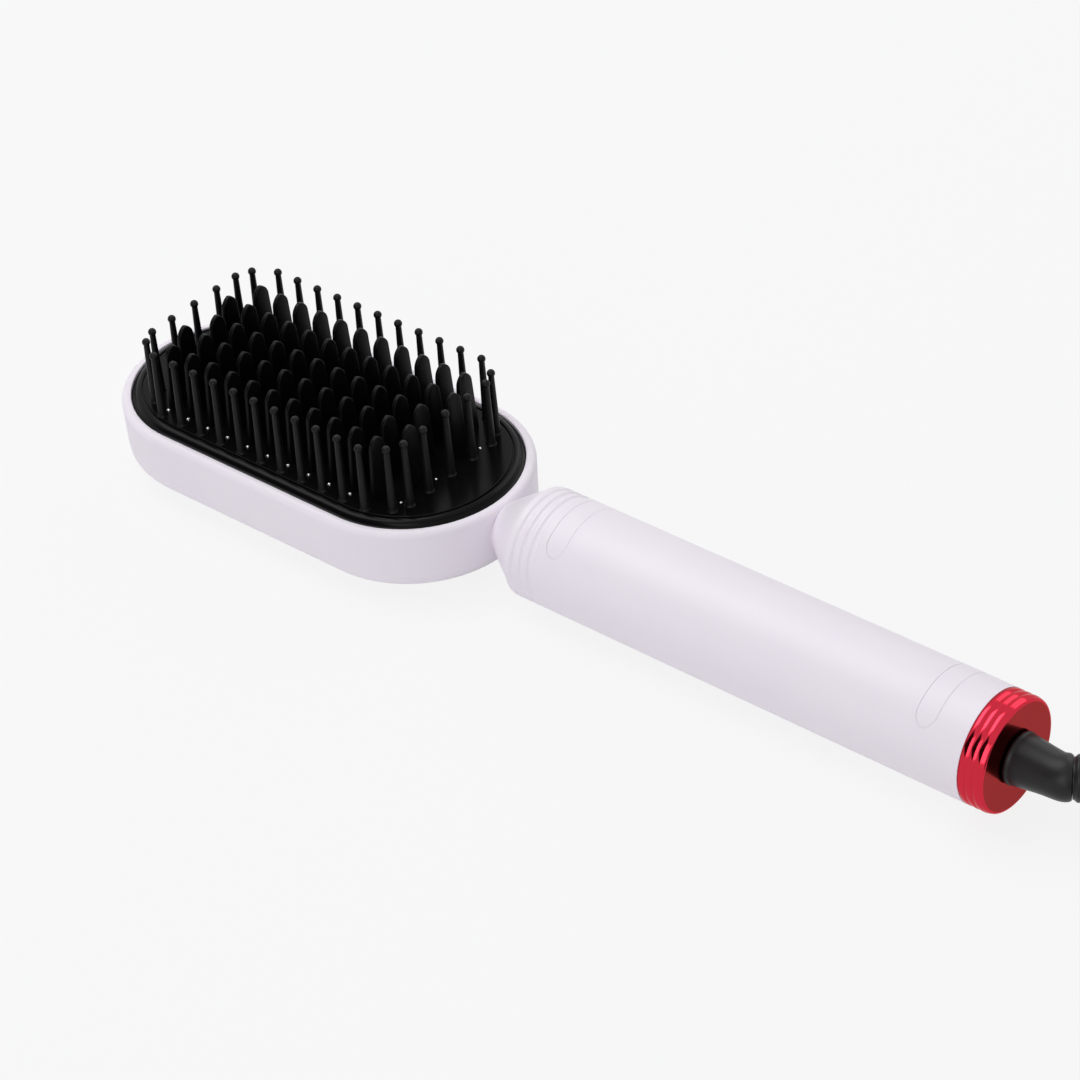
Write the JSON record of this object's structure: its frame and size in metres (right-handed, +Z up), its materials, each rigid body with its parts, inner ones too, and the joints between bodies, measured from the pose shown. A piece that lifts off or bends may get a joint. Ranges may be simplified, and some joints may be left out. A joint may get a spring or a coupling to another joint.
{
  "type": "heated styling brush",
  "caption": "Corded heated styling brush: oval head with flat heated teeth inside a ring of ball-tipped guard pins, round handle, red end cap and swivelling cord outlet.",
  "frame": {"origin": "floor point under the middle of the brush, measured without the boot and cord", "axes": "+X from the head's tip to the end cap, +Y to the left seen from the head, +Z up, the way the teeth point"},
  "size_m": [0.4525, 0.1057, 0.0454],
  "materials": {
    "white_plastic": "smooth satin white",
    "black_gloss": "polished black",
    "black_satin": "satin black",
    "red_metal": "metallic red lacquer",
    "boot_rubber": "satin dark grey",
    "cord_rubber": "matt dark grey",
    "pin_metal": "nickel plated",
    "aluminium": "as cast",
    "steel": "zinc plated",
    "ceramic": "fired ceramic",
    "mica": "pressed sheet",
    "heat_plastic": "moulded",
    "board_green": "solder mask",
    "contact_brass": "bright",
    "wire_sheath": "silicone sheath",
    "display_glass": "smoked window",
    "display_grey": "module body"
  },
  "bodies": {
    "brush": {"head_shell": "white_plastic", "neck_collar": "white_plastic", "handle_tube": "white_plastic", "front_screw_cover": "white_plastic", "rear_screw_cover": "white_plastic", "bristle_frame": "black_gloss", "comb_teeth": "black_gloss", "control_panel": "black_gloss", "guard_pins": "black_satin", "chassis": "black_satin", "terminal_block": "black_satin", "button_switches": "black_satin", "end_cap": "red_metal", "heating_plate": "aluminium", "clamp_plate": "steel", "clamp_screws": "steel", "tray_screws": "steel", "neck_screws": "steel", "handle_screws": "steel", "board_screws": "steel", "heater_elements": "ceramic", "thermal_fuse": "ceramic", "thermistor": "ceramic", "board_fuse": "ceramic", "insulation_sheet": "mica", "heat_tray": "heat_plastic", "contact_carrier": "heat_plastic", "swivel_bush": "heat_plastic", "triac": "heat_plastic", "circuit_board": "board_green", "contact_blades": "contact_brass", "heater_leads": "wire_sheath", "mains_leads": "wire_sheath", "display_lens": "display_glass", "display_module": "display_grey"},
    "minus_button": {"minus_button": "black_satin"},
    "power_button": {"power_button": "black_satin"},
    "plus_button": {"plus_button": "black_satin"},
    "swivel": {"swivel_boot": "boot_rubber", "strain_relief": "boot_rubber", "cord_lead": "cord_rubber", "cord_coil": "cord_rubber", "cord_tie": "cord_rubber", "plug_body": "cord_rubber", "plug_pins": "pin_metal", "slip_rings": "contact_brass", "retaining_clip": "steel"}
  },
  "joints": [
    {"name": "minus_button_press", "type": "slide", "parent": "brush", "child": "minus_button", "axis": [0, 0, 1], "range_m": [0, 0.0006], "stiffness_N_per_m": 800},
    {"name": "power_button_press", "type": "slide", "parent": "brush", "child": "power_button", "axis": [0, 0, 1], "range_m": [0, 0.0006], "stiffness_N_per_m": 800},
    {"name": "plus_button_press", "type": "slide", "parent": "brush", "child": "plus_button", "axis": [0, 0, 1], "range_m": [0, 0.0006], "stiffness_N_per_m": 800},
    {"name": "cord_swivel", "type": "hinge", "parent": "brush", "child": "swivel", "pos_m": [0.14635, 0, 0.0155], "axis": [1, 0, 0], "continuous": true}
  ]
}
